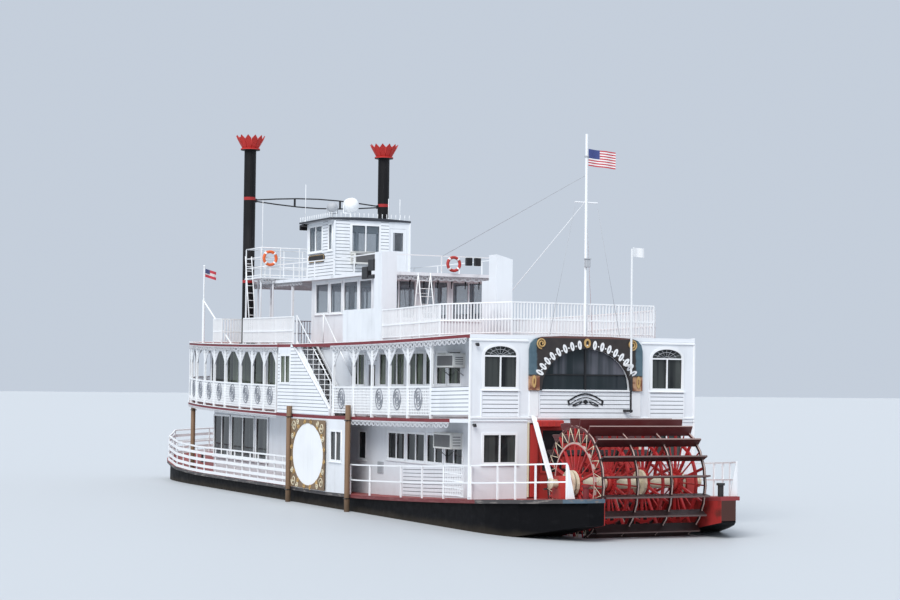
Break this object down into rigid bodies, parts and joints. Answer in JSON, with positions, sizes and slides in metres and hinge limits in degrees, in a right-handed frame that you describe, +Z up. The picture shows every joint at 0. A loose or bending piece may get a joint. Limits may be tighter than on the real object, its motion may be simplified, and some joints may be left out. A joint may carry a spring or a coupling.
{
  "type": "sternwheel excursion boat",
  "caption": "Flat-bottomed sternwheel excursion boat with railed decks, pilothouse, crowned stacks, a turning paddle wheel between its stern horns and coupled rudders.",
  "frame": {"origin": "centre of the bounding box, on the plane of the hull's flat bottom", "axes": "+X towards the bow, +Y to port, +Z up"},
  "size_m": [39.34, 8.41, 15.9515],
  "materials": {
    "white_paint": "satin",
    "red_paint": "satin",
    "maroon_paint": "satin",
    "black_paint": "satin",
    "hull_paint": "matte",
    "deck_paint": "matte",
    "paddle_wood": "matte",
    "cream_paint": "satin",
    "engine_iron": "matte",
    "flag_cloth": "matte"
  },
  "bodies": {
    "root": {"hull": "hull_paint", "main_deck": "deck_paint", "second_deck": "maroon_paint", "third_deck": "maroon_paint", "roof_deck": "white_paint", "main_wall_port": "white_paint", "main_wall_starboard": "white_paint", "main_wall_forward": "white_paint", "main_wall_aft": "red_paint", "side_board_port": "white_paint", "side_board_starboard": "white_paint", "tower_port": "white_paint", "tower_starboard": "white_paint", "stern_wall_centre": "white_paint", "arch_board": "black_paint", "second_wall_port": "white_paint", "second_wall_starboard": "white_paint", "second_wall_forward": "white_paint", "stair_wall_port": "white_paint", "port_stair": "black_paint", "deckhouse_port": "white_paint", "deckhouse_starboard": "white_paint", "pilothouse_shell": "white_paint", "pilothouse_aft": "white_paint", "pilothouse_roof": "white_paint", "stack_port": "black_paint", "stack_starboard": "black_paint", "stack_spreader": "black_paint", "mast": "white_paint", "stern_staff": "white_paint", "bearing_port": "red_paint", "bearing_starboard": "red_paint", "engine_block": "engine_iron", "main_fence": "white_paint", "main_rail_port": "white_paint", "main_rail_starboard": "white_paint", "horn_rail_port": "white_paint", "horn_rail_starboard": "white_paint", "gallery_forward": "white_paint", "gallery_aft_port": "white_paint", "gallery_aft_starboard": "white_paint", "third_rail_aft": "white_paint", "third_rail_forward": "white_paint", "roof_rail": "white_paint", "casing_middle": "white_paint", "casing_aft": "white_paint", "ensign": "flag_cloth"},
    "paddle_wheel": {"paddle_shaft": "cream_paint", "paddle_boards": "paddle_wood", "paddle_spider_1": "red_paint", "paddle_spider_2": "red_paint", "paddle_spider_3": "red_paint", "paddle_spider_4": "red_paint"},
    "rudder_port_body": {"rudder_port": "red_paint"},
    "rudder_starboard_body": {"rudder_starboard": "red_paint"},
    "entry_door_port_body": {"entry_door_port": "white_paint"},
    "entry_door_starboard_body": {"entry_door_starboard": "white_paint"},
    "gallery_door_port_body": {"gallery_door_port": "white_paint"},
    "gallery_door_starboard_body": {"gallery_door_starboard": "white_paint"},
    "pilothouse_door_body": {"pilothouse_door": "white_paint"}
  },
  "joints": [
    {"name": "paddle_wheel_spin", "type": "hinge", "parent": "root", "child": "paddle_wheel", "pos_m": [-17.43, 0, 2.575], "axis": [0, 1, 0], "continuous": true},
    {"name": "steering", "type": "hinge", "parent": "root", "child": "rudder_port_body", "pos_m": [-15.35, 1.1, 0.6], "axis": [0, 0, 1], "range_deg": [-35, 35]},
    {"name": "steering_starboard", "type": "hinge", "parent": "root", "child": "rudder_starboard_body", "pos_m": [-15.35, -1.1, 0.6], "axis": [0, 0, 1], "range_deg": [-35, 35]},
    {"name": "entry_port_swing", "type": "hinge", "parent": "root", "child": "entry_door_port_body", "pos_m": [12.5503, 0.9, 2.55363], "axis": [0, 0, 1], "range_deg": [0, 105]},
    {"name": "entry_starboard_swing", "type": "hinge", "parent": "root", "child": "entry_door_starboard_body", "pos_m": [12.5503, -0.9, 2.55363], "axis": [0, 0, -1], "range_deg": [0, 105]},
    {"name": "gallery_port_swing", "type": "hinge", "parent": "root", "child": "gallery_door_port_body", "pos_m": [-4.43, 3.1997, 5.34914], "axis": [0, 0, -1], "range_deg": [0, 95]},
    {"name": "gallery_starboard_swing", "type": "hinge", "parent": "root", "child": "gallery_door_starboard_body", "pos_m": [-4.43, -3.1997, 5.34914], "axis": [0, 0, 1], "range_deg": [0, 95]},
    {"name": "pilothouse_door_swing", "type": "hinge", "parent": "root", "child": "pilothouse_door_body", "pos_m": [2.67, -1.48, 10.77315], "axis": [0, 0, 1], "range_deg": [0, 105]}
  ],
  "couplings": [
    {"joint": "steering_starboard", "follows": "steering", "ratio": 1}
  ]
}
